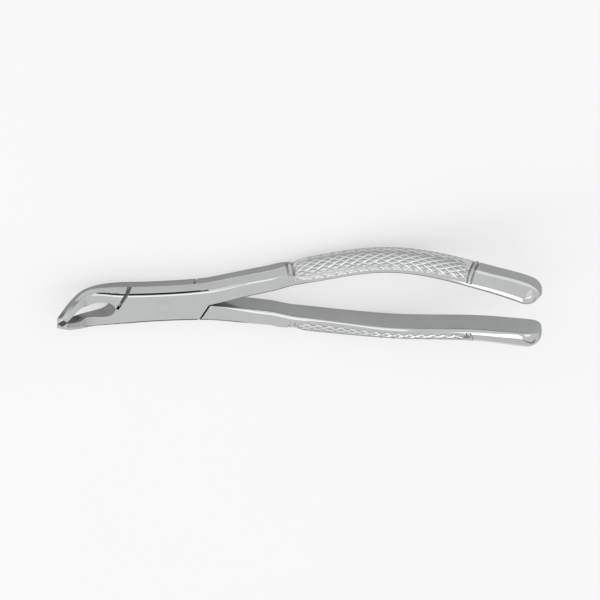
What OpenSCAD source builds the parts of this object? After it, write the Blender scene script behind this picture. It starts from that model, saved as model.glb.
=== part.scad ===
// Extraction forceps: two forged halves, lapped at a shouldered joint, that turn on one flush rivet.
// The pivot is the Z axis and the flat back of the joint lies on Z = 0.
// The beaks point to -X and the handles to +X, and both curve up towards +Z, the front.

/* [Joint] */
// Thickness of the joint along the pivot
joint_thick = 9; // [8:0.1:11]
// Width of the joint across the pivot
joint_width = 11.4; // [10:0.1:14]
// How much wider the joint is at its shoulders
joint_flare = 0.9; // [0:0.1:2]
// Crown of the joint's sides, each
side_crown = 0.5; // [0.1:0.05:0.8]
// Distance from the pivot to the ends of the plates, along the centre line
shoulder_reach = 15.8; // [14:0.1:18]
// Lean of the plate ends from square
shoulder_lean = 32; // [20:1:38]
// Undercut of the plate ends, from the outer faces to the lap
shoulder_rake = 13; // [0:1:20]
// Slit between a plate end and the shoulder at the root of a beak
beak_slit = 1.2; // [0.3:0.05:1.6]
// How much less the shoulders of the beaks lean than the plate ends, so that their slits widen
slit_spread = 3; // [0:1:10]
// Slit between a plate end and the shoulder at the root of a handle
handle_slit = 0.75; // [0.3:0.05:1.2]
// Clearance between the two lapped plates
lap_gap = 0.06; // [0.02:0.01:0.2]

/* [Rivet] */
// Diameter of the rivet's shank
rivet_d = 3.2; // [2.5:0.1:5]
// How much wider the flush heads are than the shank
head_flare = 0.8; // [0.4:0.1:2]
// Depth of the countersinks that hold the heads
head_depth = 0.9; // [0.4:0.1:2]
// Running clearance of the rivet in the front half, on the radius
rivet_play = 0.03; // [0.01:0.01:0.1]

/* [Beaks] */
// Height of the tips above the back of the joint
tip_height = 16.5; // [14:0.5:20]
// How far inside the shoulder the back of the beaks starts to curve
heel_inset = 2.8; // [1:0.1:5]
// Radius of the curve along the back of the beaks
heel_radius = 23; // [18:0.5:26]
// Slope of the back of the beaks at the tips
back_slope = 48; // [44:1:55]
// Distance from the shoulder to the start of the curve along the front of the beaks
throat_length = 8.8; // [6:0.1:10]
// Radius of the curve along the front of the beaks
throat_radius = 4; // [2:0.5:8]
// Slope of the front of the beaks at the tips
front_slope = 42; // [38:1:48]
// Dip of the front of the beaks between the shoulder and the tip
throat_dip = 0.8; // [0:0.1:1.5]
// Widest gap between the closed beaks along their back edges
beak_back_gap = 6.7; // [4:0.1:7.5]
// Widest gap between the closed beaks along their front edges
beak_front_gap = 5.7; // [4:0.1:7]
// Gap between the tips of the closed beaks
tip_gap = 0.2; // [0.1:0.05:1]
// Width across both beaks along their back edges
beak_back_width = 13.6; // [11:0.1:15]
// Width across both beaks along their front edges
beak_front_width = 13.2; // [10:0.1:15]
// Width across both tips along their back edges
tip_back_width = 3.8; // [3.4:0.1:6]
// Width across both tips along their front edges
tip_front_width = 3.2; // [3:0.1:6]
// Depth of the hollow inside each tip
tip_hollow = 1.4; // [0.5:0.1:1.6]
// How far that hollow cuts back the front edge of the beak
tip_scoop = 1.2; // [0:0.1:1.6]
// Ridge along the outside of each beak
beak_ridge = 0.4; // [0.1:0.05:0.8]

/* [Handles] */
// Distance from the pivot to the end of the handles
handle_reach = 130; // [125:0.1:145]
// Distance from the pivot to the thinnest place of the neck
neck_at = 38; // [34:0.5:42]
// Height of the neck along the pivot
neck_height = 8.8; // [7:0.1:9.5]
// Depth of the neck, from its inner face to the ridge outside
neck_depth = 6.2; // [5.6:0.1:8]
// Flat along the front of the neck
neck_front_flat = 5.3; // [3:0.1:6]
// Flat along the back of the neck
neck_back_flat = 5.9; // [4:0.1:6.6]
// Depth of the neck at the ring grooves
neck_end_depth = 6.1; // [5.4:0.1:7.5]
// Flat along the front of the neck there
neck_end_front_flat = 4.8; // [3:0.1:5.5]
// Flat along the back of the neck there
neck_end_back_flat = 5.2; // [3:0.1:6]
// Gap between the handles at the neck
neck_gap = 8; // [6:0.1:10]
// Gap between the handles where the grip starts
grip_gap = 12.6; // [11:0.1:16]
// Distance from the pivot to the widest gap between the handles
bow_at = 81; // [76:0.5:88]
// Widest gap between the handles
bow_gap = 22.1; // [20:0.1:27]
// Distance from the pivot to the start of the smooth tails
tail_at = 115; // [110:0.5:118]
// Gap between the handles there
tail_gap = 15; // [13:0.1:19]
// Gap between the handles at their ends
end_gap = 10.6; // [8:0.1:14]
// Height of the grip along the pivot
grip_height = 10.5; // [9:0.1:12]
// Depth of the grip where it starts
grip_root_depth = 7.1; // [6:0.1:8.5]
// Depth of the grip at the widest gap
grip_depth = 6.4; // [5.5:0.1:8]
// Flat along the front of the grip
grip_front_flat = 1.4; // [1.2:0.1:2.5]
// Flat along the back of the grip
grip_back_flat = 2.2; // [1.2:0.1:3]
// Height of the handle ends
end_height = 11; // [9.5:0.1:12.5]
// Depth of the handle ends
end_depth = 7.4; // [6:0.1:8.5]
// Flat along the front of the handle ends
end_front_flat = 3; // [1.2:0.1:3.6]
// Flat along the back of the handle ends
end_back_flat = 1.2; // [1.2:0.1:3.6]
// Distance from the pivot to where the handles start to rise
rise_start = 62.5; // [55:0.5:70]
// Rise of the handles at their ends
rise = 20.9; // [15:0.1:28]
// Length over which the handle ends round off
end_round = 5; // [4:0.1:8]
// Rounding of the inner edges of the handles
edge_round = 0.9; // [0.3:0.1:1.5]

/* [Grip] */
// Distance from the pivot to the start of the diamond cuts
grip_start = 46.9; // [45:0.1:52]
// Length of one diamond
diamond_length = 4; // [3:0.1:4.2]
// Number of diamonds along the grip
diamond_count = 15; // [10:1:15]
// Depth of the cuts between the diamonds
cut_depth = 0.45; // [0.2:0.05:0.7]
// Width of each ring groove beside the cuts
ring_width = 0.6; // [0.4:0.05:1.2]
// Depth of the ring grooves
ring_depth = 0.5; // [0.2:0.05:0.8]
// Length of the bead between two ring grooves
bead_length = 0.9; // [0.6:0.1:3]
// Height of that bead
bead_rise = 0.2; // [0:0.05:0.5]

/* [Hidden] */
$fn = 64;

// Steps around the outer and the inner side of a section; the first is twice the second
outer_steps = 16;
inner_steps = 8;
// Stations along the beak, the neck, the tail and the rounded end
beak_steps = 18;
neck_steps = 9;
tail_steps = 5;
end_steps = 6;

// Places along the beaks, as shares of their length, where they are widest
front_crown = 0.47;
back_crown = 0.5;
// Places where the gap between them is widest
front_gap_crown = 0.36;
back_gap_crown = 0.29;
// Places where the hollow reaches the front edge, and where it has its full width there
scoop_start = 0.63;
scoop_full = 0.7;
// Length over which the inner edges of the handles become rounded
edge_run = 18;
// Angles around the outside between which the cuts and rings fade out
fade_from = 74;
fade_to = 90;
// Powers of the sections: a ridge, a round, and a flat with rounded edges
ridge_power = 1.05;
round_power = 2.15;
flat_power = 7;
groove_power = 1.1;
end_power = 2.6;
// Power with which the hollow of a beak deepens to the tip
hollow_power = 1.5;
// Angle through which the rounded end closes, and the share of its depth at which it does
end_turn = 88;
end_bias = 0.3;
// A cut that is larger than the joint
beyond = 40;
// Distance between the two stations where a beak or a handle leaves the joint
branch_step = 0.05;
// Half the length over which the slope of a handle is taken
slope_step = 0.5;

lap_z = joint_thick / 2;
lean_run = tan(shoulder_lean);
beak_lean_run = tan(shoulder_lean - slit_spread);
rake_run = tan(shoulder_rake);
// Reach of the plate ends at the lap
lap_reach = shoulder_reach - rake_run * lap_z;
heel_start = shoulder_reach - heel_inset;
throat_start = shoulder_reach + throat_length;
head_d = rivet_d + head_flare;
grip_end = grip_start + diamond_length * diamond_count;
// Where the grip has its full round section
grip_full = grip_start + diamond_length;
// How far the middle of the cuts lies below the smooth outside
cut_sink = cut_depth / 3;
collar = 2 * ring_width + bead_length;
tail_start = grip_end + collar;
neck_end = grip_start - collar;
end_start = handle_reach - end_round;

// Curves
function lerp(a, b, t) = a + (b - a) * t;
function ease(t) =
    let (c = min(1, max(0, t)))
    c * c * (3 - 2 * c);

// Smooth curve through knots [place, value]
function knot_slope(k, i) =
    let (
        a = max(0, i - 1),
        b = min(len(k) - 1, i + 1)
    )
    (k[b][1] - k[a][1]) / (k[b][0] - k[a][0]);
function span(k, x, i = 0) = i >= len(k) - 2 || x <= k[i + 1][0] ? i : span(k, x, i + 1);
function curve(k, x) =
    let (
        i = span(k, x),
        w = k[i + 1][0] - k[i][0],
        t = (x - k[i][0]) / w
    )
    (2 * t ^ 3 - 3 * t ^ 2 + 1) * k[i][1]
    + (t ^ 3 - 2 * t ^ 2 + t) * w * knot_slope(k, i)
    + (3 * t ^ 2 - 2 * t ^ 3) * k[i + 1][1]
    + (t ^ 3 - t ^ 2) * w * knot_slope(k, i + 1);

// A line that runs level, then along an arc, then straight up a slope
function bent_length(level, radius, slope, height) =
    level + radius * slope * PI / 180 + (height - radius * (1 - cos(slope))) / sin(slope);
function bent_point(level, radius, slope, run) =
    let (
        arc = radius * slope * PI / 180,
        turn = min(slope, max(0, run - level) / radius * 180 / PI),
        flat = min(run, level),
        rest = max(0, run - level - arc)
    )
    [
        flat + radius * sin(turn) + rest * cos(slope),
        radius * (1 - cos(turn)) + rest * sin(slope)
    ];

// Half the width of the joint
function joint_half(x) = (joint_width + joint_flare * (x / shoulder_reach) ^ 2) / 2;

// Back and front outline of a beak, seen from the side, at a share u of its length
back_length = bent_length(0, heel_radius, back_slope, tip_height);
front_level = throat_start - heel_start;
front_length = bent_length(front_level, throat_radius, front_slope, tip_height - joint_thick);
function beak_back(u) =
    let (p = bent_point(0, heel_radius, back_slope, u * back_length))
    [-heel_start - p[0], p[1]];
function beak_front(u) =
    let (p = bent_point(front_level, throat_radius, front_slope, u * front_length))
    [-heel_start - p[0], joint_thick + p[1] - throat_dip * sin(180 * u) ^ 2];
// The beaks part where the slits of the joint end
crotch = (heel_inset + beak_slit) / front_length;

// Half widths of the beaks: a swell from the root to a crown, then a round fall to the tip
function swell(u, root, crown_at, crown, tip) =
    u < crown_at
        ? lerp(root, crown, ease(u / crown_at))
        : crown - (crown - tip) * ((u - crown_at) / (1 - crown_at)) ^ 2;
function beak_outer_back(u) =
    swell(u, joint_half(heel_start), back_crown, beak_back_width / 2, tip_back_width / 2);
function beak_outer_front(u) =
    swell(u, joint_half(heel_start), front_crown, beak_front_width / 2, tip_front_width / 2);
function beak_inner(u, gap, crown_at) =
    let (
        room = (gap - tip_gap) / 2,
        near = (crown_at - u) / (crown_at - crotch),
        far = (u - crown_at) / (1 - crown_at)
    )
    tip_gap / 2 + room * (u < crown_at ? sqrt(max(0, 1 - near ^ 2)) : 1 - ease(far));
function beak_inner_back(u) = beak_inner(u, beak_back_gap, back_gap_crown);
function beak_inner_front(u) =
    let (far = max(0, u - scoop_full) / (1 - scoop_full))
    beak_inner(u, beak_front_gap, front_gap_crown)
    + tip_scoop * ease((u - scoop_start) / (scoop_full - scoop_start)) * (1 - far ^ 2);
function beak_hollow(u) = tip_hollow * (max(0, u - crotch) / (1 - crotch)) ^ hollow_power;

// Centre line and sizes of a handle, at a distance x from the pivot
half_gap_knots = [
    [shoulder_reach, tip_gap / 2],
    [neck_at, neck_gap / 2],
    [grip_start, grip_gap / 2],
    [bow_at, bow_gap / 2],
    [tail_at, tail_gap / 2],
    [handle_reach, end_gap / 2]
];
height_knots = [
    [shoulder_reach, joint_thick],
    [neck_at, neck_height],
    [bow_at, grip_height],
    [handle_reach, end_height]
];
root_flat = joint_half(shoulder_reach) - tip_gap / 2;
depth_knots = [
    [shoulder_reach, root_flat + side_crown],
    [neck_at, neck_depth],
    [neck_end, neck_end_depth],
    [grip_full, grip_root_depth],
    [bow_at, grip_depth],
    [handle_reach, end_depth]
];
front_flat_knots = [
    [shoulder_reach, root_flat],
    [neck_at, neck_front_flat],
    [neck_end, neck_end_front_flat],
    [grip_full, grip_front_flat],
    [bow_at, grip_front_flat],
    [handle_reach, end_front_flat]
];
back_flat_knots = [
    [shoulder_reach, root_flat],
    [neck_at, neck_back_flat],
    [neck_end, neck_end_back_flat],
    [grip_full, grip_back_flat],
    [bow_at, grip_back_flat],
    [handle_reach, end_back_flat]
];
function half_gap(x) = curve(half_gap_knots, x);
function rise_share(x) = max(0, x - rise_start) / (handle_reach - rise_start);
function handle_rise(x) = rise * rise_share(x) ^ 2;
function handle_lean(x) = atan(2 * rise * rise_share(x) / (handle_reach - rise_start));
function handle_yaw(x) =
    ease((x - shoulder_reach) / edge_run)
    * atan((half_gap(x + slope_step) - half_gap(x - slope_step)) / (2 * slope_step));
function end_share(x) =
    max(0, 1 - (max(0, x - end_start) / end_round) ^ end_power) ^ (1 / end_power);

// Stations. Each holds its back and front point [x, z], its outer and inner side, the place and angle
// that it is turned about, and the relief of its outside: a step, and a cross cut that alternates.
// A side is [half width at the back, at the front, crown, power].
function beak_station(u) = [
    beak_back(u),
    beak_front(u),
    [-beak_inner_back(u), -beak_inner_front(u), -beak_hollow(u), groove_power],
    [-beak_outer_back(u), -beak_outer_front(u), -lerp(side_crown, beak_ridge, u), ridge_power],
    0, 0, 0, 0
];
function root_station(u) = [
    beak_back(u),
    beak_front(u),
    [joint_half(heel_start), joint_half(heel_start), side_crown, ridge_power],
    [-beak_outer_back(u), -beak_outer_front(u), -side_crown, ridge_power],
    0, 0, 0, 0
];
function joint_station(x) = [
    [x, 0],
    [x, joint_thick],
    [joint_half(x), joint_half(x), side_crown, ridge_power],
    [-joint_half(x), -joint_half(x), -side_crown, ridge_power],
    0, 0, 0, 0
];
function handle_station(x, step = 0, cross = 0) =
    let (
        share = end_share(x),
        lean = handle_lean(x),
        height = curve(height_knots, x),
        half = share * height / 2,
        middle = height / 2 + handle_rise(x),
        inner = half_gap(x),
        depth = curve(depth_knots, x),
        round = ease((x - neck_end) / (grip_full - neck_end)),
        blunt = edge_round * ease((x - shoulder_reach) / edge_run),
        start = inner + end_bias * depth * (1 - share),
        back = share * curve(back_flat_knots, x),
        front = share * curve(front_flat_knots, x)
    )
    [
        [x + half * sin(lean), middle - half * cos(lean)],
        [x - half * sin(lean), middle + half * cos(lean)],
        [
            start + back,
            start + front,
            share * depth - (back + front) / 2,
            lerp(ridge_power, round_power, round)
        ],
        [start + share * blunt, start + share * blunt, -share * blunt, flat_power],
        inner, handle_yaw(x), step, cross
    ];

// The two ring grooves with the bead between them, from a place x
function collar_stations(x) = [
    handle_station(x),
    handle_station(x + ring_width / 2, -ring_depth),
    handle_station(x + ring_width),
    handle_station(x + ring_width + bead_length / 2, bead_rise),
    handle_station(x + ring_width + bead_length),
    handle_station(x + collar - ring_width / 2, -ring_depth),
    handle_station(x + collar)
];
function grip_stations() = [
    for (i = [1 : 2 * diamond_count - 1])
        handle_station(
            grip_start + i * diamond_length / 2,
            -cut_sink,
            (i % 2 == 0 ? 1 : -1) * cut_depth / 2
        )
];

// All stations of one half, from the tip of its beak to the end of its handle
front_stations = concat(
    [for (i = [0 : beak_steps]) beak_station(lerp(1, crotch, i / beak_steps))],
    [for (u = [crotch - branch_step / front_length, crotch / 2, 0]) root_station(u)],
    [for (i = [-1 : 2]) joint_station(i * heel_start / 2)],
    [joint_station(shoulder_reach)],
    [
        for (i = [0 : neck_steps - 1])
            handle_station(lerp(shoulder_reach + branch_step, neck_end, i / neck_steps))
    ],
    collar_stations(neck_end)
);
stations = concat(
    front_stations,
    grip_stations(),
    collar_stations(grip_end),
    [for (i = [1 : tail_steps]) handle_station(lerp(tail_start, end_start, i / tail_steps))],
    [for (i = [1 : end_steps]) handle_station(end_start + end_round * sin(i * end_turn / end_steps))]
);

// Points of one station
function side_y(side, s) =
    lerp(side[0], side[1], (s + 1) / 2) + side[2] * (1 - abs(s) ^ side[3]) ^ (1 / side[3]);
function relief(st, j, phi) =
    (1 - ease((abs(phi) - fade_from) / (fade_to - fade_from))) * (st[6] + st[7] * (j % 2 == 0 ? 1 : -1));
function placed(st, phi, y, lift) =
    let (
        across = st[1] - st[0],
        p = st[0] + across * (sin(phi) + 1) / 2 + across / norm(across) * lift * sin(phi),
        reach = y + lift * cos(phi) - st[4]
    )
    [p[0] - reach * sin(st[5]), st[4] + reach * cos(st[5]), p[1]];
function ring(st) = concat(
    [
        for (j = [0 : outer_steps])
            let (phi = -90 + 180 * j / outer_steps)
            placed(st, phi, side_y(st[2], sin(phi)), relief(st, j, phi))
    ],
    [
        for (j = [0 : inner_steps])
            let (phi = 90 - 180 * j / inner_steps)
            placed(st, phi, side_y(st[3], sin(phi)), 0)
    ]
);

ring_size = outer_steps + inner_steps + 2;
// The diagonals follow the cuts between the diamonds, so they change from face to face
first_cut = len(front_stations);
function wall_faces(i, j) =
    let (
        a = i * ring_size + j,
        b = i * ring_size + (j + 1) % ring_size,
        c = a + ring_size,
        d = b + ring_size
    )
    (i + j + first_cut) % 2 == 0 ? [[a, c, b], [b, c, d]] : [[a, d, b], [a, c, d]];
function cap_faces(i, flip) = [
    for (k = [0 : inner_steps - 1])
        let (
            base = i * ring_size,
            outer = base + 2 * k,
            low = base + ring_size - 1 - k
        )
        for (f = [[outer, low, outer + 1], [outer + 1, low, low - 1], [outer + 1, low - 1, outer + 2]])
            flip ? [f[2], f[1], f[0]] : f
];

// One half before the lap is cut: a beak, the joint at its full thickness, and a handle
module forging() {
    polyhedron(
        points = [for (st = stations) each ring(st)],
        faces = concat(
            [for (i = [0 : len(stations) - 2]) for (j = [0 : ring_size - 1]) each wall_faces(i, j)],
            cap_faces(0, true),
            cap_faces(len(stations) - 1, false)
        )
    );
}

// A block between two levels, with the outline low at the first and high at the second
module block(low, high, from, to, tiles) {
    n = len(low);
    polyhedron(
        points = concat([for (p = low) [p[0], p[1], from]], [for (p = high) [p[0], p[1], to]]),
        faces = concat(
            tiles,
            [for (t = tiles) [n + t[2], n + t[1], n + t[0]]],
            [for (i = [0 : n - 1]) [i, n + i, n + (i + 1) % n]],
            [for (i = [0 : n - 1]) [i, n + (i + 1) % n, (i + 1) % n]]
        )
    );
}

// Outline of a shoulder of the other half, and of the plate of the other half with its slits
function shoulder_outline(reach) = [
    [-reach, 0],
    [-reach + beyond * lean_run, beyond],
    [-2 * beyond, beyond],
    [-2 * beyond, 0]
];
function plate_outline(reach) = [
    [reach + handle_slit, 0],
    [reach + handle_slit - beyond * lean_run, beyond],
    [-2 * beyond, beyond],
    [-2 * beyond, 0],
    [-reach - beak_slit, 0],
    [-reach - beak_slit + beyond * beak_lean_run, -beyond],
    [2 * beyond, -beyond],
    [2 * beyond, 0]
];

// What the other half needs: its shoulders in front, and its whole plate behind
module lap_cut() {
    far_reach = lap_reach + rake_run * beyond;
    for (turn = [0, 180])
        rotate([0, 0, turn])
            block(
                shoulder_outline(lap_reach),
                shoulder_outline(far_reach),
                lap_z,
                lap_z + beyond,
                [[0, 1, 2], [0, 2, 3]]
            );
    block(
        plate_outline(far_reach),
        plate_outline(lap_reach),
        lap_z + lap_gap / 2 - beyond,
        lap_z + lap_gap / 2,
        [[4, 0, 1], [4, 1, 2], [4, 2, 3], [0, 4, 5], [0, 5, 6], [0, 6, 7]]
    );
}

// The rivet, or with play the hole that it runs in
module rivet_shape(play) {
    radius = rivet_d / 2 + play;
    head = head_d / 2 + play;
    rotate_extrude()
        polygon([
            [0, 0],
            [head, 0],
            [radius, head_depth],
            [radius, joint_thick - head_depth],
            [head, joint_thick],
            [0, joint_thick]
        ]);
}

module front_half() {
    color("gainsboro")
        difference() {
            forging();
            lap_cut();
            rivet_shape(rivet_play);
        }
}

module rear_half() {
    color("silver")
        difference() {
            mirror([0, 1, 0])
                forging();
            translate([0, 0, joint_thick])
                rotate([180, 0, 0])
                    lap_cut();
            rivet_shape(0);
        }
}

module pivot_rivet() {
    color("lightgray")
        rivet_shape(0);
}

rear_half();
front_half();
pivot_rivet();
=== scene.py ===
"""Extraction forceps: a fine skin over the two forged halves, steel materials, studio light and camera."""
import math

import bmesh
import bpy
import numpy as np
from mathutils import Matrix, Vector


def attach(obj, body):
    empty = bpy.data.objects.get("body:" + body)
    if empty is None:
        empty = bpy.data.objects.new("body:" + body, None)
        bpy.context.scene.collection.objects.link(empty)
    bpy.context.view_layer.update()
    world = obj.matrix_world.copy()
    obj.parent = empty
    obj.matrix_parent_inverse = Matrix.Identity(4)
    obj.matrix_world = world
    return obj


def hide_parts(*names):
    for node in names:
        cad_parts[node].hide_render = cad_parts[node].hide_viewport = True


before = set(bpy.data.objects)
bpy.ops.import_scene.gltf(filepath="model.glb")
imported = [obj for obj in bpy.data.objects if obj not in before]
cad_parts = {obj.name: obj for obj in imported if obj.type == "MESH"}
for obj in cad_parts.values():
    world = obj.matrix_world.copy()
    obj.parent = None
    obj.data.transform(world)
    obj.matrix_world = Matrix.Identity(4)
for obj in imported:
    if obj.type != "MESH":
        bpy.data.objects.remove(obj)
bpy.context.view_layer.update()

MM = 0.001

# The part's sizes in millimetres. They are those of its source, apart from THROAT_LENGTH, THROAT_RADIUS,
# END_FRONT_FLAT, EDGE_ROUND, SCOOP_START and SCOOP_FULL, which make softer forms here.
JOINT_THICK = 9.0
JOINT_WIDTH = 11.4
JOINT_FLARE = 0.9
SIDE_CROWN = 0.5
SHOULDER_REACH = 15.8
SHOULDER_LEAN = 32.0
SHOULDER_RAKE = 13.0
BEAK_SLIT = 1.2
SLIT_SPREAD = 3.0
HANDLE_SLIT = 0.75
LAP_GAP = 0.06
RIVET_D = 3.2
HEAD_FLARE = 0.8
HEAD_DEPTH = 0.9
RIVET_PLAY = 0.03
TIP_HEIGHT = 16.5
HEEL_INSET = 2.8
HEEL_RADIUS = 23.0
BACK_SLOPE = 48.0
THROAT_LENGTH = 6.9
THROAT_RADIUS = 9.0
FRONT_SLOPE = 42.0
THROAT_DIP = 0.8
BEAK_BACK_GAP = 6.7
BEAK_FRONT_GAP = 5.7
TIP_GAP = 0.2
BEAK_BACK_WIDTH = 13.6
BEAK_FRONT_WIDTH = 13.2
TIP_BACK_WIDTH = 3.8
TIP_FRONT_WIDTH = 3.2
TIP_HOLLOW = 1.4
TIP_SCOOP = 1.2
BEAK_RIDGE = 0.4
HANDLE_REACH = 130.0
NECK_AT = 38.0
NECK_HEIGHT = 8.8
NECK_DEPTH = 6.2
NECK_FRONT_FLAT = 5.3
NECK_BACK_FLAT = 5.9
NECK_END_DEPTH = 6.1
NECK_END_FRONT_FLAT = 4.8
NECK_END_BACK_FLAT = 5.2
NECK_GAP = 8.0
GRIP_GAP = 12.6
BOW_AT = 81.0
BOW_GAP = 22.1
TAIL_AT = 115.0
TAIL_GAP = 15.0
END_GAP = 10.6
GRIP_HEIGHT = 10.5
GRIP_ROOT_DEPTH = 7.1
GRIP_DEPTH = 6.4
GRIP_FRONT_FLAT = 1.4
GRIP_BACK_FLAT = 2.2
END_HEIGHT = 11.0
END_DEPTH = 7.4
END_FRONT_FLAT = 2.2
END_BACK_FLAT = 1.2
RISE_START = 62.5
RISE = 20.9
END_ROUND = 5.0
EDGE_ROUND = 0.3
GRIP_START = 46.9
DIAMOND_LENGTH = 4.0
DIAMOND_COUNT = 15
RING_WIDTH = 0.6
RING_DEPTH = 0.5
BEAD_LENGTH = 0.9
BEAD_RISE = 0.2

# Shares, powers, lengths, angles in degrees and steps of the loft.
FRONT_CROWN = 0.47
BACK_CROWN = 0.5
FRONT_GAP_CROWN = 0.36
BACK_GAP_CROWN = 0.29
SCOOP_START = 0.55
SCOOP_FULL = 0.74
EDGE_RUN = 18.0
FADE_FROM = 74.0
FADE_TO = 90.0
RIDGE_POWER = 1.05
ROUND_POWER = 2.15
FLAT_POWER = 7.0
GROOVE_POWER = 1.1
END_POWER = 2.6
HOLLOW_POWER = 1.5
END_TURN = 88.0
END_BIAS = 0.3
BRANCH_STEP = 0.05
SLOPE_STEP = 0.5

# How fine the skin is: steps for each half diamond, steps around each side of a section, and its points.
FINE = 6
OUTER = 16 * FINE
INNER = OUTER
RING_POINTS = OUTER + INNER + 2
# Sections along a beak, to each side of the middle of the joint, and along neck, collar, tail and round
# end. Those of the neck crowd at its root.
BEAK_RINGS = 48
JOINT_RINGS = 4
NECK_RINGS = 44
NECK_CROWDING = 1.3
COLLAR_RINGS = 28
TAIL_RINGS = 24
END_RINGS = 24
# Shares of the way to the crotch at which the root of a beak has sections.
ROOT_SHARES = (0.66, 1 / 3, 0)
# Finishes of the surface, in the order of the steels of a half. Four are painted light: shade in the thin
# line, shade on back halves and insides, a highlight on ridges and edges, and shade on the front of a beak.
POLISHED, BLASTED, PAINTED_LINE_SHADE, PAINTED_SHADE, DULL, PAINTED_HIGHLIGHT, PAINTED_FRONT_SHADE = range(7)
# Rounding of the long edges: height and width at the front, radius at the back.
CORNER = (0.8, 1.5, 0.25)
TIP_CORNER = (0.3, 0.4, 0.2)
NECK_CORNER = (0.08, 0.4, 0.1)
INSIDE_CORNER = (0.15, 0.15, 0.1)
NO_CORNER = (0.0, 0.0, 0.0)
# The thin line cut along the front edge of the joint: where it begins, the length over which it deepens,
# where it begins to fade, where it ends, and its section.
LINE_FROM = -23.8
LINE_GROW = 2.0
LINE_FADE = 8.0
LINE_TO = 17.0
LINE_TURN = 58.0
LINE_WIDTH = 0.45
LINE_DEPTH = 0.6
LINE_BELOW = 0.4
# Share of the depth of the line from which a point is in it, and gets painted shade, a near-black steel.
LINE_EDGE = 0.2
# Angle for a side that has no painted shade, and the slack in comparing angles.
NO_PAINTED_SHADE = -100.0
ANGLE_SLACK = 0.1
# The worn inner front edge of the handles: width, the share of the front that it may take, height as a
# share of the width, and profile in shares of the height and of the width.
EDGE_WORN = 1.15
WORN_SHARE = 0.8
WORN_HEIGHT = 0.51
WORN_PROFILE = ((0.0, 0.482, 0.778, 1.0), (0.0, 0.17, 0.48, 1.0))
# Angles around the outside of a tail between which it has two facets.
FACET_ANGLES = (-30.0, 29.0, 86.0)
# Angles between which the outside has a painted highlight, a brighter steel, on the neck and on the tail.
NECK_EDGE = (1.0, 4.0)
TAIL_EDGE = (29.5, 36.0)
# Angle on the inside of a handle above which it is polished; below it, it has painted shade, a darker
# steel.
INSIDE_POLISH = 66.0
# The slight waist and bulb of the handle ends: places and depths.
WAIST_AT = 113.0
WAIST_DEPTH = 6.75
BULB_AT = 123.5
BULB_DEPTH = 7.45
# Share of the length of a beak from which its inside is blasted, and how far and how often that border
# waves.
BLAST_FROM = 0.6
BLAST_WAVE = 0.05
BLAST_WAVES = 9
# Rings of the beak of the front half, from the tip, on which the front gets painted shade, darker towards
# the tip.
SHADED_FRONT = 34
# Relief of the diamonds, the share of their fade above which their edges get a painted highlight, and the
# angle below which faces that look outward get painted shade.
PAD_RISE = 0.3
PAD_HIGHLIGHT = 0.5
PAD_SHADE_ANGLE = 28.0
# Powers that round the ring grooves and the beads.
RING_ROUND = 0.8
BEAD_ROUND = 0.6
# Steps around a turned piece.
TURN_STEPS = 96
# How far the cutting blocks reach, and how far the hole for the rivet runs past the joint.
BEYOND = 40.0
FAR = 2 * BEYOND
HOLE_OVER = 0.2
# Edges over this angle stay crisp, and points nearer than this, in metres, are joined.
CRISP_ANGLE = 28
WELD = 1e-7

LAP_Z = JOINT_THICK / 2
LEAN_RUN = math.tan(math.radians(SHOULDER_LEAN))
BEAK_LEAN_RUN = math.tan(math.radians(SHOULDER_LEAN - SLIT_SPREAD))
RAKE_RUN = math.tan(math.radians(SHOULDER_RAKE))
LAP_REACH = SHOULDER_REACH - RAKE_RUN * LAP_Z
HEEL_START = SHOULDER_REACH - HEEL_INSET
THROAT_START = SHOULDER_REACH + THROAT_LENGTH
HEAD_D = RIVET_D + HEAD_FLARE
GRIP_END = GRIP_START + DIAMOND_LENGTH * DIAMOND_COUNT
GRIP_FULL = GRIP_START + DIAMOND_LENGTH
COLLAR = 2 * RING_WIDTH + BEAD_LENGTH
TAIL_START = GRIP_END + COLLAR
NECK_END = GRIP_START - COLLAR
END_START = HANDLE_REACH - END_ROUND


def lerp(a, b, t):
    return a + (b - a) * t


def ease(t):
    c = min(1.0, max(0.0, t))
    return c * c * (3 - 2 * c)


def knot_slope(k, i):
    a, b = max(0, i - 1), min(len(k) - 1, i + 1)
    return (k[b][1] - k[a][1]) / (k[b][0] - k[a][0])


def curve(k, x):
    """Smooth curve through knots (place, value)."""
    i = 0
    while i < len(k) - 2 and x > k[i + 1][0]:
        i += 1
    w = k[i + 1][0] - k[i][0]
    t = (x - k[i][0]) / w
    return ((2 * t ** 3 - 3 * t ** 2 + 1) * k[i][1] + (t ** 3 - 2 * t ** 2 + t) * w * knot_slope(k, i)
            + (3 * t ** 2 - 2 * t ** 3) * k[i + 1][1] + (t ** 3 - t ** 2) * w * knot_slope(k, i + 1))


def bent_length(level, radius, slope, height):
    a = math.radians(slope)
    return level + radius * a + (height - radius * (1 - math.cos(a))) / math.sin(a)


def bent_point(level, radius, slope, run):
    """A line that runs level, then along an arc, then straight up a slope."""
    a = math.radians(slope)
    turn = min(a, max(0.0, run - level) / radius)
    rest = max(0.0, run - level - radius * a)
    return (min(run, level) + radius * math.sin(turn) + rest * math.cos(a),
            radius * (1 - math.cos(turn)) + rest * math.sin(a))


def joint_half(x):
    return (JOINT_WIDTH + JOINT_FLARE * (x / SHOULDER_REACH) ** 2) / 2


BACK_LENGTH = bent_length(0, HEEL_RADIUS, BACK_SLOPE, TIP_HEIGHT)
FRONT_LEVEL = THROAT_START - HEEL_START
FRONT_LENGTH = bent_length(FRONT_LEVEL, THROAT_RADIUS, FRONT_SLOPE, TIP_HEIGHT - JOINT_THICK)
CROTCH = (HEEL_INSET + BEAK_SLIT) / FRONT_LENGTH


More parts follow.
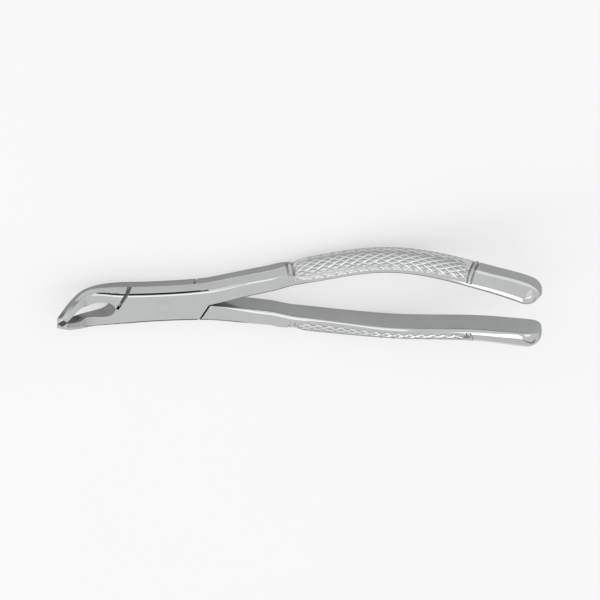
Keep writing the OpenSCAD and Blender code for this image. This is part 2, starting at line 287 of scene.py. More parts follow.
def beak_back(u):
    p = bent_point(0, HEEL_RADIUS, BACK_SLOPE, u * BACK_LENGTH)
    return np.array((-HEEL_START - p[0], p[1]))


def beak_front(u):
    p = bent_point(FRONT_LEVEL, THROAT_RADIUS, FRONT_SLOPE, u * FRONT_LENGTH)
    dip = THROAT_DIP * math.sin(math.pi * u) ** 2
    return np.array((-HEEL_START - p[0], JOINT_THICK + p[1] - dip))


def swell(u, root, crown_at, crown, tip):
    if u < crown_at:
        return lerp(root, crown, ease(u / crown_at))
    return crown - (crown - tip) * ((u - crown_at) / (1 - crown_at)) ** 2


def beak_outer_back(u):
    return swell(u, joint_half(HEEL_START), BACK_CROWN, BEAK_BACK_WIDTH / 2, TIP_BACK_WIDTH / 2)


def beak_outer_front(u):
    return swell(u, joint_half(HEEL_START), FRONT_CROWN, BEAK_FRONT_WIDTH / 2, TIP_FRONT_WIDTH / 2)


def beak_inner(u, gap, crown_at):
    room = (gap - TIP_GAP) / 2
    if u < crown_at:
        near = (crown_at - u) / (crown_at - CROTCH)
        return TIP_GAP / 2 + room * math.sqrt(max(0.0, 1 - near ** 2))
    return TIP_GAP / 2 + room * (1 - ease((u - crown_at) / (1 - crown_at)))


def beak_inner_back(u):
    return beak_inner(u, BEAK_BACK_GAP, BACK_GAP_CROWN)


def beak_inner_front(u):
    far = max(0.0, u - SCOOP_FULL) / (1 - SCOOP_FULL)
    scoop = TIP_SCOOP * ease((u - SCOOP_START) / (SCOOP_FULL - SCOOP_START)) * (1 - far ** 2)
    return beak_inner(u, BEAK_FRONT_GAP, FRONT_GAP_CROWN) + scoop


def beak_hollow(u):
    return TIP_HOLLOW * (max(0.0, u - CROTCH) / (1 - CROTCH)) ** HOLLOW_POWER


ROOT_FLAT = joint_half(SHOULDER_REACH) - TIP_GAP / 2
HALF_GAP_KNOTS = [(SHOULDER_REACH, TIP_GAP / 2), (NECK_AT, NECK_GAP / 2), (GRIP_START, GRIP_GAP / 2),
                  (BOW_AT, BOW_GAP / 2), (TAIL_AT, TAIL_GAP / 2), (HANDLE_REACH, END_GAP / 2)]
HEIGHT_KNOTS = [(SHOULDER_REACH, JOINT_THICK), (NECK_AT, NECK_HEIGHT), (BOW_AT, GRIP_HEIGHT),
                (HANDLE_REACH, END_HEIGHT)]
DEPTH_KNOTS = [(SHOULDER_REACH, ROOT_FLAT + SIDE_CROWN), (NECK_AT, NECK_DEPTH), (NECK_END, NECK_END_DEPTH),
               (GRIP_FULL, GRIP_ROOT_DEPTH), (BOW_AT, GRIP_DEPTH), (WAIST_AT, WAIST_DEPTH),
               (BULB_AT, BULB_DEPTH), (HANDLE_REACH, END_DEPTH)]
FRONT_FLAT_KNOTS = [(SHOULDER_REACH, ROOT_FLAT), (NECK_AT, NECK_FRONT_FLAT),
                    (NECK_END, NECK_END_FRONT_FLAT), (GRIP_FULL, GRIP_FRONT_FLAT),
                    (BOW_AT, GRIP_FRONT_FLAT), (HANDLE_REACH, END_FRONT_FLAT)]
BACK_FLAT_KNOTS = [(SHOULDER_REACH, ROOT_FLAT), (NECK_AT, NECK_BACK_FLAT),
                   (NECK_END, NECK_END_BACK_FLAT), (GRIP_FULL, GRIP_BACK_FLAT),
                   (BOW_AT, GRIP_BACK_FLAT), (HANDLE_REACH, END_BACK_FLAT)]


def half_gap(x):
    return curve(HALF_GAP_KNOTS, x)


def rise_share(x):
    return max(0.0, x - RISE_START) / (HANDLE_REACH - RISE_START)


def handle_yaw(x):
    slope = (half_gap(x + SLOPE_STEP) - half_gap(x - SLOPE_STEP)) / (2 * SLOPE_STEP)
    return ease((x - SHOULDER_REACH) / EDGE_RUN) * math.atan(slope)


def end_share(x):
    t = max(0.0, x - END_START) / END_ROUND
    return max(0.0, 1 - t ** END_POWER) ** (1 / END_POWER)


# Angles of the points around the outer and the inner side of a section, from -90 at the back to 90 at the
# front, and how the relief of diamonds and rings fades to both edges. Rings run on over the front edge.
PHI_OUT = np.radians(-90 + 180 * np.arange(OUTER + 1) / OUTER)
PHI_IN = np.radians(90 - 180 * np.arange(INNER + 1) / INNER)
FADE = np.array([1 - ease((abs(math.degrees(p)) - FADE_FROM) / (FADE_TO - FADE_FROM)) for p in PHI_OUT])
RING_FADE = np.where(PHI_OUT > 0, 1.0, FADE)


def side_y(side, phi, flat=0.0):
    """A side of a section: half widths at back and front, crown and power, and the share of its facets."""
    def smooth(s):
        bulge = np.maximum(0, 1 - np.abs(s) ** side[3]) ** (1 / side[3])
        return lerp(side[0], side[1], (s + 1) / 2) + side[2] * bulge

    s = np.sin(phi)
    corners = np.sin(np.radians(FACET_ANGLES))
    chord = np.interp(s, corners, smooth(corners))
    inside = (s > corners[0]) & (s < corners[-1])
    return np.where(inside, lerp(smooth(s), chord, flat), smooth(s))


def corner_y(phi, height, size, bevel=0.0, worn=False):
    """How far rounded, bevelled or worn long edges draw a side in, for a corner of that size."""
    drawn = np.zeros_like(phi)
    for sign, rise, width in ((1, size[0], size[1]), (-1, size[2], size[2])):
        if rise > 0:
            reach = rise / (height / 2)
            t = np.clip((sign * np.sin(phi) - (1 - reach)) / reach, 0, 1)
            eased = np.interp(t, *WORN_PROFILE) if worn else lerp(1 - np.sqrt(1 - t ** 2), t, bevel)
            drawn = drawn + width * eased
    return drawn


def line_cut(phi, height, x):
    """How deep the thin line along the rounded front edge is cut, for points around a side."""
    share = ease((x - LINE_FROM) / LINE_GROW) * (1 - ease((x - LINE_FADE) / (LINE_TO - LINE_FADE)))
    below = height / 2 * (1 - np.sin(phi))
    return LINE_DEPTH * share * np.clip(1 - np.abs(below - LINE_BELOW) / (LINE_WIDTH / 2), 0, 1)


def ring(back, front, outer, inner, pivot=0.0, yaw=0.0, lift=None, corners=(NO_CORNER, NO_CORNER),
         lines=(False, False), dull=None, bevel=0.0, worn=False, flat=0.0, shade_up_to=(NO_PAINTED_SHADE, NO_PAINTED_SHADE),
         ridge=None):
    """Points of one section, around its outer side from back to front and back along its inner side.

    Pairs are for the outer and the inner side. Returns the points with the finish of each: a side has
    painted shade, a darker steel, from the back up to an angle, the outer side is dull or blasted in a beak
    and has a painted highlight, a brighter steel, on a ridge, and points deep in the thin line get painted
    shade.
    """
    across = front - back
    size = np.linalg.norm(across)
    unit = across / size
    turn = math.radians(LINE_TURN)
    rows, finish = [], []
    for k, (phi, side, inward) in enumerate(((PHI_OUT, outer, -1), (PHI_IN, inner, 1))):
        y = side_y(side, phi, flat if k == 0 else 0.0)
        y = y + inward * corner_y(phi, size, corners[k], bevel if k == 0 else 0.0, worn and k == 1)
        cut_in = line_cut(phi, size, front[0]) if lines[k] else np.zeros_like(phi)
        y = y + inward * cut_in * math.sin(turn)
        rise = lift if k == 0 and lift is not None else np.zeros_like(phi)
        p = back[None, :] + across[None, :] * ((np.sin(phi) + 1) / 2)[:, None]
        p = p + unit[None, :] * (rise * np.sin(phi) - cut_in * math.cos(turn))[:, None]
        reach = y + rise * np.cos(phi) - pivot
        rows.append(np.stack((p[:, 0] - reach * math.sin(yaw), pivot + reach * math.cos(yaw), p[:, 1]), 1))
        # Painted shade, a darker steel, from the back of a side up to the angle.
        plain = np.where(np.degrees(phi) <= shade_up_to[k] + ANGLE_SLACK, PAINTED_SHADE, POLISHED)
        if k == 0 and dull is not None:
            plain = np.where(dull > BLAST_FROM + BLAST_WAVE * np.sin(BLAST_WAVES * phi), BLASTED, DULL)
        # Points on a ridge get a painted highlight, a brighter steel.
        if k == 0 and ridge is not None:
            plain = np.where(ridge, PAINTED_HIGHLIGHT, plain)
        # Points deep in the thin line get painted shade, a near-black steel.
        finish.append(np.where(cut_in > LINE_EDGE * LINE_DEPTH, PAINTED_LINE_SHADE, plain))
    return np.concatenate(rows), np.concatenate(finish)


def between(a, b, t):
    return tuple(lerp(p, q, t) for p, q in zip(a, b))


def beak_ring(u):
    """A section of a beak. The side nearer to +Y is its inside, which is dull, and blasted in the tip. The
    back half of its outside has painted shade, a darker steel.
    """
    return ring(
        beak_back(u), beak_front(u),
        (-beak_inner_back(u), -beak_inner_front(u), -beak_hollow(u), GROOVE_POWER),
        (-beak_outer_back(u), -beak_outer_front(u), -lerp(SIDE_CROWN, BEAK_RIDGE, u), RIDGE_POWER),
        corners=(INSIDE_CORNER, between(CORNER, TIP_CORNER, u)), lines=(False, True), dull=u,
        shade_up_to=(NO_PAINTED_SHADE, 0.0))


def root_ring(u):
    """A section of the root of a beak, which is as wide as the joint. Both sides have painted shade on
    their back half.
    """
    h = joint_half(HEEL_START)
    return ring(beak_back(u), beak_front(u), (h, h, SIDE_CROWN, RIDGE_POWER),
                (-beak_outer_back(u), -beak_outer_front(u), -SIDE_CROWN, RIDGE_POWER),
                corners=(CORNER, between(CORNER, TIP_CORNER, u)), lines=(True, True), shade_up_to=(0.0, 0.0))


def joint_ring(x):
    """A section of the joint, before the lap is cut out of it. Both sides have painted shade on their back
    half.
    """
    h = joint_half(x)
    return ring(np.array((x, 0.0)), np.array((x, JOINT_THICK)), (h, h, SIDE_CROWN, RIDGE_POWER),
                (-h, -h, -SIDE_CROWN, RIDGE_POWER), corners=(CORNER, CORNER), lines=(True, True),
                shade_up_to=(0.0, 0.0))


def outside_shade_angle(x):
    """Angle up to which the outside of a handle has painted shade, a darker steel."""
    if x < GRIP_START:
        return 0.0
    return FACET_ANGLES[1] if x > GRIP_END else NO_PAINTED_SHADE


def highlight_ridge(x):
    """Which points of the outside are on the ridge of the neck, or between the facets of the tail, where it
    has a painted highlight.
    """
    low, high = TAIL_EDGE if x > GRIP_END else NECK_EDGE
    return (np.degrees(PHI_OUT) > low) & (np.degrees(PHI_OUT) < high)


def handle_ring(x, lift=None, ridge=None):
    """A section of a handle, with the relief of its outside and the points of it that get a painted
    highlight.
    """
    share = end_share(x)
    lean = math.atan(2 * RISE * rise_share(x) / (HANDLE_REACH - RISE_START))
    height = curve(HEIGHT_KNOTS, x)
    half = share * height / 2
    middle = height / 2 + RISE * rise_share(x) ** 2
    inner = half_gap(x)
    depth = curve(DEPTH_KNOTS, x)
    full = ease((x - NECK_END) / (GRIP_FULL - NECK_END))
    past = ease((x - SHOULDER_REACH) / EDGE_RUN)
    blunt = EDGE_ROUND * past
    start = inner + END_BIAS * depth * (1 - share)
    back = share * curve(BACK_FLAT_KNOTS, x)
    front = share * curve(FRONT_FLAT_KNOTS, x)
    crown = share * depth - (back + front) / 2
    corner = between(CORNER, NECK_CORNER, past)
    corner = between(corner, NO_CORNER, ease((x - NECK_AT) / (NECK_END - NECK_AT)))
    worn = share * max(0.0, min(EDGE_WORN, (front - blunt) * WORN_SHARE)) * past
    # Plain sections get a painted highlight on the neck's ridge and between the tail's facets.
    if ridge is None and lift is None:
        ridge = highlight_ridge(x)
    return ring(
        np.array((x + half * math.sin(lean), middle - half * math.cos(lean))),
        np.array((x - half * math.sin(lean), middle + half * math.cos(lean))),
        (start + back, start + front, crown, lerp(RIDGE_POWER, ROUND_POWER, full)),
        (start + share * blunt, start + share * blunt, -share * blunt, FLAT_POWER),
        inner, handle_yaw(x), lift, (corner, (worn * WORN_HEIGHT, worn, 0.0)), (True, False),
        bevel=past, worn=True,
        flat=ease((x - GRIP_END) / COLLAR) * (1 - ease((x - END_START) / END_ROUND)),
        shade_up_to=(outside_shade_angle(x), INSIDE_POLISH), ridge=ridge)


def groove(t):
    """Depth share of a ring groove with a rounded floor, at a share t of its width."""
    return math.sin(math.pi * min(1.0, max(0.0, t))) ** RING_ROUND


def collar_lift(t):
    """Relief of the two ring grooves with the bead between them, at a distance t from their start."""
    if t < RING_WIDTH:
        return -RING_DEPTH * groove(t / RING_WIDTH)
    if t < RING_WIDTH + BEAD_LENGTH:
        return BEAD_RISE * math.sin(math.pi * (t - RING_WIDTH) / BEAD_LENGTH) ** BEAD_ROUND
    return -RING_DEPTH * groove((t - RING_WIDTH - BEAD_LENGTH) / RING_WIDTH)


def cut_steps(i, j):
    """Steps from a point of the grip to the nearest cut of each of the two directions."""
    return tuple(np.abs((lattice % (2 * FINE)) - FINE) for lattice in (i + j, i - j))


def diamond_lift(i):
    """Relief of the pillow-shaped diamonds at step i along the grip, and the points on their edges."""
    j = np.arange(OUTER + 1)
    nearest = np.minimum(*cut_steps(i, j))
    on_edge = (nearest == 0) | (cut_steps(i, j + 1)[0] == 0) | (cut_steps(i, j + 1)[1] == 0)
    return -PAD_RISE * (1 - nearest / FINE) ** 2, on_edge


def loft_rings():
    """Points and finishes of the sections of a half, from tip to handle end, and the grip's first ring."""
    rings = [beak_ring(lerp(1, CROTCH, i / BEAK_RINGS)) for i in range(BEAK_RINGS + 1)]
    rings += [root_ring(CROTCH - BRANCH_STEP / FRONT_LENGTH)]
    rings += [root_ring(CROTCH * share) for share in ROOT_SHARES]
    rings += [joint_ring(i * HEEL_START / JOINT_RINGS) for i in range(1 - JOINT_RINGS, JOINT_RINGS + 1)]
    rings += [joint_ring(SHOULDER_REACH)]
    first = SHOULDER_REACH + BRANCH_STEP
    for i in range(NECK_RINGS):
        rings.append(handle_ring(lerp(first, NECK_END, (i / NECK_RINGS) ** NECK_CROWDING)))
    collar = [COLLAR * i / COLLAR_RINGS for i in range(COLLAR_RINGS + 1)]
    rings += [handle_ring(NECK_END + t, collar_lift(t) * RING_FADE) for t in collar]
    grip = len(rings) - 1
    count = 2 * FINE * DIAMOND_COUNT
    step = DIAMOND_LENGTH / (2 * FINE)
    for i in range(1, count):
        edge = min(1.0, min(i, count - i) / FINE)
        lift, on_edge = diamond_lift(i)
        # The edges of the diamonds get a painted highlight, a brighter steel.
        rings.append(handle_ring(GRIP_START + i * step, lift * FADE * edge, on_edge & (FADE > PAD_HIGHLIGHT)))
    rings += [handle_ring(GRIP_END + t, collar_lift(t) * RING_FADE) for t in collar]
    rings += [handle_ring(lerp(TAIL_START, END_START, i / TAIL_RINGS)) for i in range(1, TAIL_RINGS + 1)]
    for i in range(1, END_RINGS + 1):
        rings.append(handle_ring(END_START + END_ROUND * math.sin(math.radians(i * END_TURN / END_RINGS))))
    return [r[0] for r in rings], [r[1] for r in rings], grip


def loft_faces(count, grip):
    """Triangles of the loft. The diagonals run along the diamond cuts, and both ends are closed."""
    size = RING_POINTS
    faces = []
    for i in range(count - 1):
        for j in range(size):
            a, b = i * size + j, i * size + (j + 1) % size
            c, d = a + size, b + size
            falling, rising = cut_steps(i - grip, j + 1)[0], cut_steps(i - grip, j)[1]
            faces += [(a, b, c), (b, d, c)] if falling < rising else [(a, b, d), (a, d, c)]
    for base, turned in ((0, False), ((count - 1) * size, True)):
        for k in range(INNER):
            o, low = base + k, base + size - 1 - k
            for f in ((o, low, o + 1), (o + 1, low, low - 1)):
                faces.append(f[::-1] if turned else f)
    return faces


def mesh_object(name, points, faces):
    mesh = bpy.data.meshes.new(name)
    mesh.from_pydata([tuple(p) for p in points], [], faces)
    mesh.validate()
    mesh.update()
    obj = bpy.data.objects.new(name, mesh)
    bpy.context.scene.collection.objects.link(obj)
    return obj


def block(name, low, high, z_low, z_high, tiles):
    """A block between two levels, with the outline low at the first and high at the second."""
    n = len(low)
    levels = ((low, z_low), (high, z_high))
    points = [(p[0] * MM, p[1] * MM, z * MM) for outline, z in levels for p in outline]
    faces = [tuple(reversed(t)) for t in tiles] + [tuple(n + k for k in t) for t in tiles]
    for i in range(n):
        k = (i + 1) % n
        faces += [(i, k, n + k), (i, n + k, n + i)]
    return mesh_object(name, points, faces)


def shoulder_outline(reach):
    """What is cut away in front of the lap, past one shoulder."""
    return [(-reach, 0), (-reach + BEYOND * LEAN_RUN, BEYOND), (-FAR, BEYOND), (-FAR, 0)]


def plate_outline(reach):
    """The room that the plate of the other half takes, between both slits."""
    handle, beak = reach + HANDLE_SLIT, -reach - BEAK_SLIT
    return [(handle, 0), (handle - BEYOND * LEAN_RUN, BEYOND), (-FAR, BEYOND), (-FAR, 0),
            (beak, 0), (beak + BEYOND * BEAK_LEAN_RUN, -BEYOND), (FAR, -BEYOND), (FAR, 0)]


def lathe(name, outline, segments=TURN_STEPS):
    """A turned piece about the pivot from (radius, height) points that start and end on the axis."""
    points, faces = [], []
    rows = outline[1:-1]
    for r, z in rows:
        for k in range(segments):
            a = 2 * math.pi * k / segments
            points.append((r * math.cos(a) * MM, r * math.sin(a) * MM, z * MM))
    for i in range(len(rows) - 1):
        for k in range(segments):
            n = (k + 1) % segments
            a, b = i * segments, (i + 1) * segments
            faces.append((a + k, a + n, b + n, b + k))
    low, high = len(points), len(points) + 1
    points += [(0, 0, outline[0][1] * MM), (0, 0, outline[-1][1] * MM)]
    top = (len(rows) - 1) * segments
    for k in range(segments):
        n = (k + 1) % segments
        faces += [(low, n, k), (high, top + k, top + n)]
    return mesh_object(name, points, faces)


def rivet_outline(play, over=0.0):
    """Half the section of the rivet, grown by play on the radius and by over at both ends."""
    radius, head = RIVET_D / 2 + play, HEAD_D / 2 + play
    flare = over * HEAD_FLARE / 2 / HEAD_DEPTH
    return [(0, -over), (head + flare, -over), (radius, HEAD_DEPTH), (radius, JOINT_THICK - HEAD_DEPTH),
            (head + flare, JOINT_THICK + over), (0, JOINT_THICK + over)]


def cutters(flip, play):
    """What the other half and the rivet take out of a half; flip turns it over for the rear half."""
    far = LAP_REACH + RAKE_RUN * BEYOND
    made = []
    for turn in (0, 180):
        c = block("shoulder", shoulder_outline(LAP_REACH), shoulder_outline(far), LAP_Z, LAP_Z + BEYOND,
                  [(0, 1, 2), (0, 2, 3)])
        c.data.transform(Matrix.Rotation(math.radians(turn), 4, "Z"))
        made.append(c)
    top = LAP_Z + LAP_GAP / 2
    made.append(block("plate", plate_outline(far), plate_outline(LAP_REACH), top - BEYOND, top,
                      [(4, 0, 1), (4, 1, 2), (4, 2, 3), (0, 4, 5), (0, 5, 6), (0, 6, 7)]))
    if flip:
        turned = Matrix.Translation((0, 0, JOINT_THICK * MM)) @ Matrix.Rotation(math.pi, 4, "X")
        for c in made:
            c.data.transform(turned)
    made.append(lathe("hole", rivet_outline(play, HOLE_OVER)))
    return made


def cut(obj, tools):
    """Takes the tools out of obj, keeps the result as its mesh and removes the tools."""
    for tool in tools:
        m = obj.modifiers.new("cut", "BOOLEAN")
        m.operation = "DIFFERENCE"
        m.solver = "MANIFOLD"
        m.object = tool
    bpy.context.view_layer.update()
    done = bpy.data.meshes.new_from_object(obj.evaluated_get(bpy.context.evaluated_depsgraph_get()))
    obj.modifiers.clear()
    obj.data = done
    for tool in tools:
        bpy.data.objects.remove(tool)


def soften(obj):
    """Smooth shading, with the edges over CRISP_ANGLE kept crisp."""
    bm = bmesh.new()
    bm.from_mesh(obj.data)
    bmesh.ops.remove_doubles(bm, verts=bm.verts, dist=WELD)
    for f in bm.faces:
        f.smooth = True
    for e in bm.edges:
        e.smooth = not (len(e.link_faces) == 2 and e.calc_face_angle(0) > math.radians(CRISP_ANGLE))
    bm.to_mesh(obj.data)
    bm.free()


RINGS, FINISHES, GRIP_RING = loft_rings()
FACES = loft_faces(len(RINGS), GRIP_RING)
POINTS = np.concatenate(RINGS) * MM


def face_finish():
    """The finish of each face of the loft.

    It is the one that all its corners have, or the first of them where they are dull and blasted, and
    polished otherwise. Polished faces of the diamonds that look outward get painted shade, a darker steel.
    A face with two corners on a painted highlight has it, and one with a corner in the thin line gets its
    painted shade.
    """
    corners = np.concatenate(FINISHES)[np.array(FACES)]
    finish = np.where((corners == corners[:, :1]).all(1), corners[:, 0], POLISHED)
    finish = np.where(((corners == BLASTED) | (corners == DULL)).all(1), corners[:, 0], finish)
    points = POINTS[np.array(FACES)]
    across = np.cross(points[:, 1] - points[:, 0], points[:, 2] - points[:, 0])
    # Faces of the grip's diamonds that look outward get painted shade, a darker steel.
    outward = (across[:, 1] > 0) & (np.degrees(np.arctan2(across[:, 2], across[:, 1])) < PAD_SHADE_ANGLE)
    x = points[:, :, 0]
    in_grip = ((x > GRIP_FULL * MM) & (x < (GRIP_END - DIAMOND_LENGTH / 2) * MM)).all(1)
    finish = np.where(in_grip & outward & (finish == POLISHED), PAINTED_SHADE, finish)
    # A face with two corners on a painted highlight has it.
    finish = np.where((corners == PAINTED_HIGHLIGHT).sum(1) > 1, PAINTED_HIGHLIGHT, finish)
    # A face with a corner in the thin line gets its painted shade.
    return np.where((corners == PAINTED_LINE_SHADE).any(1), PAINTED_LINE_SHADE, finish)


def make_half(name, mirrored, play):
    """The skin of a half: the loft, mirrored for the rear half, less what the other pieces take out."""
    points, faces = POINTS, FACES
    if mirrored:
        points = points * np.array((1, -1, 1))
        faces = [f[::-1] for f in faces]
    obj = mesh_object(name, points, faces)
    for mat in HALF_STEELS:
        obj.data.materials.append(mat)
    finish = face_finish()
    if not mirrored:
        # The front of the beak of the front half gets painted shade, darker towards the tip.
        for i in range(SHADED_FRONT):
            first = 2 * (i * RING_POINTS + OUTER)
            finish[first:first + 2] = PAINTED_FRONT_SHADE
    obj.data.polygons.foreach_set("material_index", finish)
    cut(obj, cutters(mirrored, play))
    soften(obj)
    return obj


# Materials

# The reach of the tips, and how the painted shade of the darker steel and of the front of a beak deepens
# towards them, by shares of the length.
TIP_REACH = 38.0
PAINTED_SHADE_STOPS = [(0.0, 0.72), (0.12, 0.8), (0.4, 1.0), (1.0, 1.0)]
FRONT_SHADE = [(0.0, 0.7), (0.045, 0.72), (0.085, 1.0), (1.0, 1.0)]
# Cloudiness of the steel: scale and detail. Detail of its grain, and the middle range of both noises.
CLOUD_SCALE = 140.0
CLOUD_DETAIL = 5.0
GRAIN_DETAIL = 4.0
NOISE_LOW = 0.3
NOISE_HIGH = 0.7
# Height of the bump in metres, and the tint of steel at a grazing angle.
BUMP_HEIGHT = 0.00005
EDGE_TINT = (0.75, 0.755, 0.755, 1)
# Scales of the grain: brushed along the part, even, and those of the rivet and the blasted steel.
BRUSHED = (250, 2600, 2600)
EVEN = (900, 900, 900)
RIVET_GRAIN = (2200, 2200, 2200)
BLASTED_GRAIN = (3200, 3200, 3200)


def link(tree, a, b):
    tree.links.new(a, b)


def ramp(tree, source, stops):
    """A ramp through stops of a place and a grey level or a colour."""
    node = tree.nodes.new("ShaderNodeValToRGB")
    while len(node.color_ramp.elements) < len(stops):
        node.color_ramp.elements.new(0.5)
    for element, (place, level) in zip(node.color_ramp.elements, stops):
        element.position = place
        element.color = (*level, 1) if isinstance(level, tuple) else (level, level, level, 1)
    link(tree, source, node.inputs["Fac"])
    return node.outputs["Color"]


def noise(tree, vector, scale, detail):
    node = tree.nodes.new("ShaderNodeTexNoise")
    node.inputs["Scale"].default_value = scale
    node.inputs["Detail"].default_value = detail
    link(tree, vector, node.inputs["Vector"])
    return node.outputs["Fac"]


def map_range(tree, value, low, high, to_low=0.0, to_high=1.0):
    node = tree.nodes.new("ShaderNodeMapRange")
    for socket, number in (("From Min", low), ("From Max", high), ("To Min", to_low), ("To Max", to_high)):
        node.inputs[socket].default_value = number
    link(tree, value, node.inputs["Value"])
    return node.outputs["Result"]


def separate(tree, vector):
    node = tree.nodes.new("ShaderNodeSeparateXYZ")
    link(tree, vector, node.inputs["Vector"])
    return node.outputs


def shaded(tree, coords, colour, shade):
    """The colour with painted shade, deepened towards the tips by the stops of shade."""
    place = map_range(tree, separate(tree, coords)["X"], -TIP_REACH * MM, HANDLE_REACH * MM)
    deep = tree.nodes.new("ShaderNodeVectorMath")
    deep.operation = "MULTIPLY"
    link(tree, colour, deep.inputs[0])
    link(tree, ramp(tree, place, shade), deep.inputs[1])
    return deep.outputs["Vector"]


def steel(name, light, dark, rough, grain, bump, shade=None):
    """Stainless steel with faint cloudiness, and a fine grain in its roughness and bump; with shade, it has
    painted shade that deepens towards the tips.
    """
    mat = bpy.data.materials.new(name)
    mat.use_nodes = True
    t = mat.node_tree
    shader = t.nodes["Principled BSDF"]
    shader.inputs["Metallic"].default_value = 1.0
    shader.inputs["Specular Tint"].default_value = EDGE_TINT
    coords = t.nodes.new("ShaderNodeTexCoord").outputs["Object"]
    cloud = noise(t, coords, CLOUD_SCALE, CLOUD_DETAIL)
    colour = ramp(t, cloud, [(NOISE_LOW, dark), (NOISE_HIGH, light)])
    if shade:
        colour = shaded(t, coords, colour, shade)
    link(t, colour, shader.inputs["Base Color"])
    stretch = t.nodes.new("ShaderNodeMapping")
    stretch.inputs["Scale"].default_value = grain
    link(t, coords, stretch.inputs["Vector"])
    fine = noise(t, stretch.outputs["Vector"], 1.0, GRAIN_DETAIL)
    link(t, map_range(t, fine, NOISE_LOW, NOISE_HIGH, *rough), shader.inputs["Roughness"])
    raised = t.nodes.new("ShaderNodeBump")
    raised.inputs["Strength"].default_value = bump
    raised.inputs["Distance"].default_value = BUMP_HEIGHT
    link(t, fine, raised.inputs["Height"])
    link(t, raised.outputs["Normal"], shader.inputs["Normal"])
    return mat


POLISHED_TINTS = ((0.535, 0.55, 0.545), (0.515, 0.53, 0.525))
HALF_STEELS = (
    steel("polished_steel", *POLISHED_TINTS, (0.08, 0.13), BRUSHED, 0.05),
    steel("blasted_steel", (0.33, 0.34, 0.337), (0.17, 0.177, 0.175), (0.36, 0.55), BLASTED_GRAIN, 0.5),
    # Near-black steel: painted shade in the thin line along the front edge of the joint.
    steel("painted_shade_line_steel", (0.09, 0.095, 0.095), (0.05, 0.053, 0.053), (0.4, 0.5), EVEN, 0.1),
    # Darker steel: painted shade on the back halves of the sides, the insides of the handles and the
    # outward faces of the diamonds, deepening towards the tips; its slightly higher roughness is real.
    steel("painted_shade_steel", (0.39, 0.4, 0.397), (0.36, 0.37, 0.367), (0.12, 0.2), BRUSHED, 0.08, PAINTED_SHADE_STOPS),
    steel("dull_steel", (0.32, 0.33, 0.327), (0.27, 0.28, 0.277), (0.2, 0.32), EVEN, 0.2),
    # Brighter steel: painted highlight on the neck's ridge, between the tail's facets and on the edges of
    # the diamonds.
    steel("painted_highlight_steel", (0.74, 0.755, 0.75), (0.69, 0.705, 0.7), (0.12, 0.2), EVEN, 0.05),
    # Polished steel with painted shade on the front of the front half's beak, deepening towards the tip.
    steel("painted_shade_front_steel", *POLISHED_TINTS, (0.08, 0.13), BRUSHED, 0.05, FRONT_SHADE),
)
RIVET_STEEL = steel("rivet_steel", (0.55, 0.565, 0.56), (0.53, 0.545, 0.54), (0.14, 0.2), RIVET_GRAIN, 0.06)

front = make_half("front_half_skin", False, RIVET_PLAY)
rear = make_half("rear_half_skin", True, 0.0)
rivet = lathe("pivot_rivet_skin", rivet_outline(0.0))
soften(rivet)
rivet.data.materials.append(RIVET_STEEL)

for piece, body, node, slot in (
    (front, "front_half", "front_half", "forging"),
    (rear, "rear_half", "rear_half", "forging"),
    (rivet, "rear_half", "pivot_rivet", "rivet"),
):
    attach(piece, body)
    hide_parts(node)


# Floor: half its width and its drop below the part in metres, its tints, cloudiness and roughness, and
# the share of plain white that the camera and reflections see in it.
FLOOR_HALF = 12.0
FLOOR_DROP = 0.00005
FLOOR_TINTS = [(0.0, 0.81), (1.0, 0.83)]
FLOOR_CLOUD_SCALE = 12.0
FLOOR_CLOUD_DETAIL = 2.0
FLOOR_ROUGHNESS = 0.9
FLOOR_GLOW = 0.5


def maths(tree, operation, first, second):
    """The result of a math node on two sockets."""
    node = tree.nodes.new("ShaderNodeMath")
    node.operation = operation
    link(tree, first, node.inputs[0])
    link(tree, second, node.inputs[1])
    return node.outputs["Value"]


def floor_material():
    """A plain pale floor with a trace of cloudiness."""
    mat = bpy.data.materials.new("pale_floor")
    mat.use_nodes = True
    t = mat.node_tree
    shader = t.nodes["Principled BSDF"]
    shader.inputs["Roughness"].default_value = FLOOR_ROUGHNESS
    shader.inputs["Specular IOR Level"].default_value = 0.0
    coords = t.nodes.new("ShaderNodeTexCoord").outputs["Object"]
    cloud = noise(t, coords, FLOOR_CLOUD_SCALE, FLOOR_CLOUD_DETAIL)
    link(t, ramp(t, cloud, FLOOR_TINTS), shader.inputs["Base Color"])
    rays = t.nodes.new("ShaderNodeLightPath").outputs
    seen = maths(t, "MAXIMUM", rays["Is Camera Ray"], rays["Is Glossy Ray"])
    seen = maths(t, "MAXIMUM", seen, rays["Is Transmission Ray"])
    share = map_range(t, seen, 0.0, 1.0, 0.0, FLOOR_GLOW)
    white = t.nodes.new("ShaderNodeEmission")
    mixed = t.nodes.new("ShaderNodeMixShader")
    link(t, share, mixed.inputs["Fac"])
    link(t, shader.outputs["BSDF"], mixed.inputs[1])
    link(t, white.outputs["Emission"], mixed.inputs[2])
    link(t, mixed.outputs["Shader"], t.nodes["Material Output"].inputs["Surface"])
    return mat


square = ((-1, -1), (1, -1), (1, 1), (-1, 1))
floor = mesh_object("floor", [(x * FLOOR_HALF, y * FLOOR_HALF, 0) for x, y in square], [(0, 1, 2, 3)])
floor.location.z = -FLOOR_DROP
floor.data.materials.append(floor_material())


# World: an even white room that is darker low down, in front and behind. The stops say how dark, by the
# height of a direction and by its share of the way from -Y to +Y.
ROOM_STRENGTH = 0.95
LOW_STOPS = [(0.0, 1.0), (0.15, 1.0), (0.48, 0.0)]
FACING_STOPS = [(0.0, 0.75), (0.1, 0.75), (0.28, 0.0), (0.72, 0.0), (0.9, 0.5)]
DARK_TO_LIGHT = [(0.0, 1.0), (1.0, 0.0)]

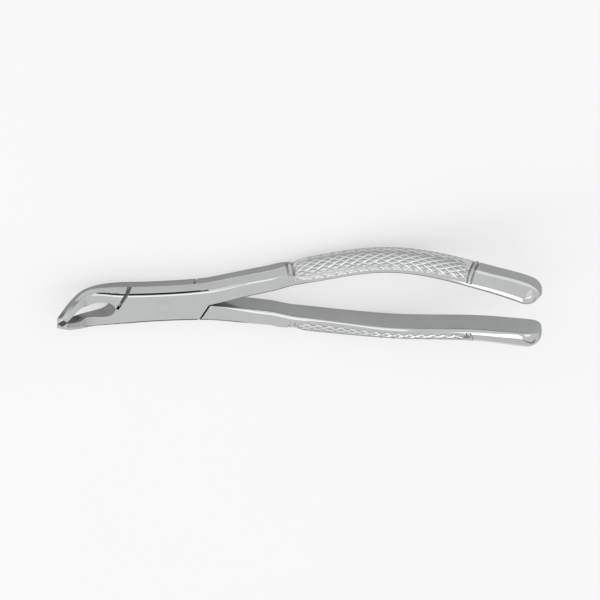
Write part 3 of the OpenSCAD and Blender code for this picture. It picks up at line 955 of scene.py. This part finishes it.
world = bpy.data.worlds.new("studio")
bpy.context.scene.world = world
world.use_nodes = True
tree = world.node_tree
room = tree.nodes["Background"]
room.inputs["Strength"].default_value = ROOM_STRENGTH
toward = separate(tree, tree.nodes.new("ShaderNodeTexCoord").outputs["Generated"])
low = ramp(tree, toward["Z"], LOW_STOPS)
facing = ramp(tree, map_range(tree, toward["Y"], -1.0, 1.0), FACING_STOPS)
link(tree, ramp(tree, maths(tree, "MULTIPLY", low, facing), DARK_TO_LIGHT), room.inputs["Color"])

# Soft boxes: name, direction from the part, distance, length along the part and width in metres, and
# radiance.
SOFT_BOXES = (
    ("key_box", (-0.72, -0.46, 0.52), 1.4, 0.9, 0.57, 1.5),
    ("strip_box", (0.1, -0.1, 0.99), 1.4, 1.3, 0.5, 0.8),
    ("fill_box", (0.0, 0.5, 0.87), 1.5, 1.2, 0.9, 0.25),
)
# The point of the part that they face, in metres, and the direction of their long sides.
AIM = Vector((0.045, 0, 0))
ALONG = Vector((1, 0, 0))


def placed(side, top, back, place):
    """The matrix that turns X, Y and Z to three directions and moves to a place."""
    return Matrix((
        (side.x, top.x, back.x, place.x),
        (side.y, top.y, back.y, place.y),
        (side.z, top.z, back.z, place.z),
        (0, 0, 0, 1),
    ))


def soft_box(name, direction, distance, length, width, radiance):
    """A soft box in a direction from the part, with its long side along the part."""
    data = bpy.data.lights.new(name, "AREA")
    data.shape = "RECTANGLE"
    data.size = length
    data.size_y = width
    data.energy = radiance * math.pi * length * width
    box = bpy.data.objects.new(name, data)
    back = Vector(direction).normalized()
    side = ALONG - back * back.dot(ALONG)
    side.normalize()
    box.matrix_world = placed(side, back.cross(side), back, AIM + back * distance)
    bpy.context.scene.collection.objects.link(box)
    box.visible_camera = False


for row in SOFT_BOXES:
    soft_box(*row)

# Camera at the photograph's angle: its lean from straight above and its turn, the width that it takes in,
# its distance and reach in metres, its sensor, and the point it looks at, in millimetres to the right, up
# and above.
CAMERA_LEAN = math.radians(30)
CAMERA_TURN = math.radians(5.5)
FRAME_WIDTH = 0.210
DISTANCE = 6.0
CLIP_END = 100.0
SENSOR = 36.0
LOOK_RIGHT = 48.09
LOOK_UP = 0.42
LOOK_HEIGHT = 4.5

sin_lean, cos_lean = math.sin(CAMERA_LEAN), math.cos(CAMERA_LEAN)
right = Vector((math.cos(CAMERA_TURN), 0, math.sin(CAMERA_TURN)))
up = Vector((sin_lean * math.sin(CAMERA_TURN), cos_lean, -sin_lean * math.cos(CAMERA_TURN)))
away = right.cross(up)
centre = Vector((0, 0, LOOK_HEIGHT * MM)) + right * LOOK_RIGHT * MM + up * LOOK_UP * MM
camera_data = bpy.data.cameras.new("camera")
camera_data.sensor_fit = "HORIZONTAL"
camera_data.sensor_width = SENSOR
camera_data.lens = SENSOR * DISTANCE / FRAME_WIDTH
camera_data.clip_end = CLIP_END
camera = bpy.data.objects.new("camera", camera_data)
camera.matrix_world = placed(right, up, away, centre + away * DISTANCE)
bpy.context.scene.collection.objects.link(camera)
bpy.context.scene.camera = camera
bpy.context.scene.view_settings.view_transform = "Standard"
